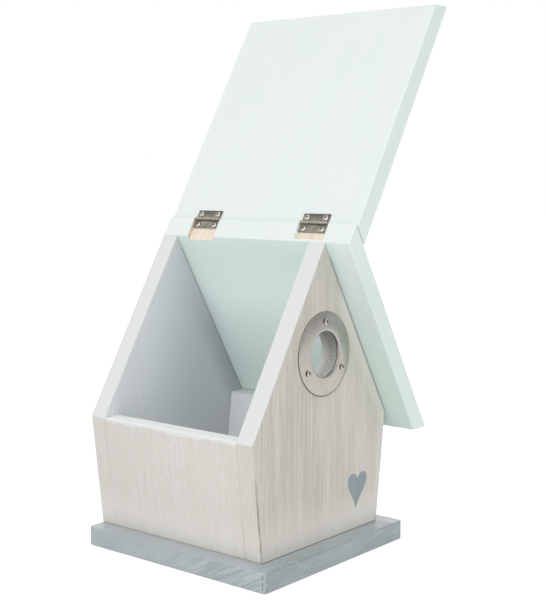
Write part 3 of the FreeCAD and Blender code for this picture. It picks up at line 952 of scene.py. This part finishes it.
make_piece("entry_ring", ring, stainless, "house", "stainless", "entry_plate")

# %% [markdown]
# ## Hinges
# Each hinge is two strips of sheet metal whose knuckles are rolled round a pin: two knuckles on the lid's
# leaf, one on the other. Cylinders stuck to a plate would hide how it is made. Here the sheet's edge is
# extruded to the knuckle and spun round the pin, and the sheet then gets its thickness, so the roll shows
# at the ends.

# %% Measures of a leaf
knuckle_gap = 0.3 * MM
knuckle_len = (hinge_len - 2 * knuckle_gap) / 3
roll_angle, roll_steps = math.radians(305), 20
leaf_ys = [-hinge_len / 2, knuckle_len - hinge_len / 2, -knuckle_len / 2, knuckle_len / 2,
           hinge_len / 2 - knuckle_len, hinge_len / 2]
outer_knuckles = [side * (hinge_len - knuckle_len) / 2 for side in (-1, 1)]
print("knuckles", round(knuckle_len / MM, 2), "mm long")


# %% Roll the hinge leaves
def moved(extruded):
    """The vertices and the edges that an extrusion made."""
    kinds = (bmesh.types.BMVert, bmesh.types.BMEdge)
    return [[made for made in extruded["geom"] if isinstance(made, kind)] for kind in kinds]


def hinge_leaf(place, side, wanted):
    """A leaf on one side of the pin, 1 for the lid and -1 for the fixed panel, with the wanted knuckles."""
    leaf = bmesh.new()
    free_edge = [leaf.verts.new((side * leaf_w, y, -leaf_seat)) for y in leaf_ys]
    edges = [leaf.edges.new(pair) for pair in zip(free_edge, free_edge[1:])]
    verts, edges = moved(bmesh.ops.extrude_edge_only(leaf, edges=edges))
    bmesh.ops.translate(leaf, verts=verts, vec=(side * (barrel_r + knuckle_gap - leaf_w), 0, 0))
    middles = [(e.verts[0].co.y + e.verts[1].co.y) / 2 for e in edges]
    rolled = [e for e, middle in zip(edges, middles) if any(abs(middle - y) < slack for y in wanted)]
    verts, rolled = moved(bmesh.ops.extrude_edge_only(leaf, edges=rolled))
    bmesh.ops.translate(leaf, verts=verts, vec=(-side * (barrel_r + knuckle_gap), 0, leaf_seat - barrel_r))
    bmesh.ops.spin(leaf, geom=verts + rolled, cent=(0, 0, 0), axis=(0, side, 0), angle=roll_angle,
                   steps=roll_steps)
    bmesh.ops.remove_doubles(leaf, verts=leaf.verts, dist=merge_dist)
    bmesh.ops.recalc_face_normals(leaf, faces=leaf.faces)
    if leaf.faces[0].normal.z > 0:
        bmesh.ops.reverse_faces(leaf, faces=leaf.faces)
    bmesh.ops.solidify(leaf, geom=leaf.faces[:], thickness=leaf_t)
    bmesh.ops.transform(leaf, matrix=from_pin.inverted(), verts=leaf.verts)
    bmesh.ops.translate(leaf, verts=leaf.verts, vec=(0, hinge_middles[place], 0))
    return leaf


for place in hinge_middles:
    for body, name, side, wanted in (("house", "fixed", -1, [0]), ("lid", "lid", 1, outer_knuckles)):
        leaf = hinge_leaf(place, side, wanted)
        make_piece(f"{place}_{name}_leaf_rolled", leaf, dark_nickel, body, "dark_nickel",
                   f"{place}_hinge_{name}_leaf")

# %% [markdown]
# ## Painted heart
# A small heart is painted on the front wall, low on the right. It could be a colour in the wall's own
# finish; as a thin film of paint it keeps a crisp outline at any size of picture. Six points on a curve
# draw it, and the curve becomes a mesh before it is stood up against the wall.

# %% Draw the heart
heart_points = {                       # millimetres on the wall: the point, the handles before and after it
    "notch": ((42.4, 50.8), (41.6, 53.8), (43.2, 53.6)),
    "right lobe": ((49.2, 55.1), (46.4, 55.1), (51.8, 55.1)),
    "right side": ((53.9, 49.8), (53.9, 52.8), (53.9, 43.8)),
    "tip": ((40.4, 28.8), (41.8, 35.2), (39.6, 35.2)),
    "left side": ((30.6, 49.8), (30.6, 43.8), (30.6, 53.0)),
    "left lobe": ((36.4, 55.4), (33.0, 55.4), (39.4, 55.4)),
}
outline = bpy.data.curves.new("heart_outline", "CURVE")
outline.dimensions, outline.fill_mode, outline.resolution_u = "2D", "BOTH", 16
spline = outline.splines.new("BEZIER")
spline.bezier_points.add(len(heart_points) - 1)
spline.use_cyclic_u = True
for point, places in zip(spline.bezier_points, heart_points.values()):
    point.handle_left_type = point.handle_right_type = "FREE"
    point.co, point.handle_left, point.handle_right = ((x * MM, z * MM, 0) for x, z in places)
drawn = bpy.data.objects.new("heart_outline", outline)
flat_heart = bpy.data.meshes.new_from_object(drawn)
bpy.data.objects.remove(drawn)
print("heart drawn with", len(flat_heart.vertices), "corners")

# %% Stand the heart up as a film of paint
film_out, film_in = 0.1 * MM, 0.05 * MM             # proud of the wall, and sunk into it
heart = bmesh.new()
heart.from_mesh(flat_heart)
bmesh.ops.remove_doubles(heart, verts=heart.verts, dist=merge_dist)
film_verts, _ = moved(bmesh.ops.extrude_face_region(heart, geom=heart.faces[:]))
bmesh.ops.translate(heart, verts=film_verts, vec=(0, 0, film_out + film_in))
bmesh.ops.rotate(heart, verts=heart.verts, cent=(0, 0, 0), matrix=Matrix.Rotation(math.pi / 2, 3, "X"))
bmesh.ops.translate(heart, verts=heart.verts, vec=(0, front_y + film_in, 0))
bmesh.ops.recalc_face_normals(heart, faces=heart.faces)


def heart_paint():
    material, place = new_finish("heart_paint")
    fibres = noise(place, upright(0.8, 20), 3.0)
    patches = noise(place, upright(9, 24), 2.0)
    paint = blend(fibres * 0.5 + patches * 0.5, colour(137, 149, 154), colour(146, 159, 164))
    coat(place, Base_Color=paint, Roughness=0.5 + fibres * 0.1, Normal=relief(fibres, 0.04 * MM))
    return material


make_piece("heart", heart, heart_paint(), "house", "grey_wash")

# %% [markdown]
# ## Close
# Both boxes, the construction's and the visual model's, are kept side by side, and the visual one's size is
# printed. The visual model has to stay inside the box of the construction, so both boxes are kept side by
# side.

# %% The two boxes
sizes = {"cad": [list(corner) for corner in cad_box], "visual": [list(corner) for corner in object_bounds()]}
print("visual model, mm:", [round((b - a) / MM, 1) for a, b in zip(*sizes["visual"])])
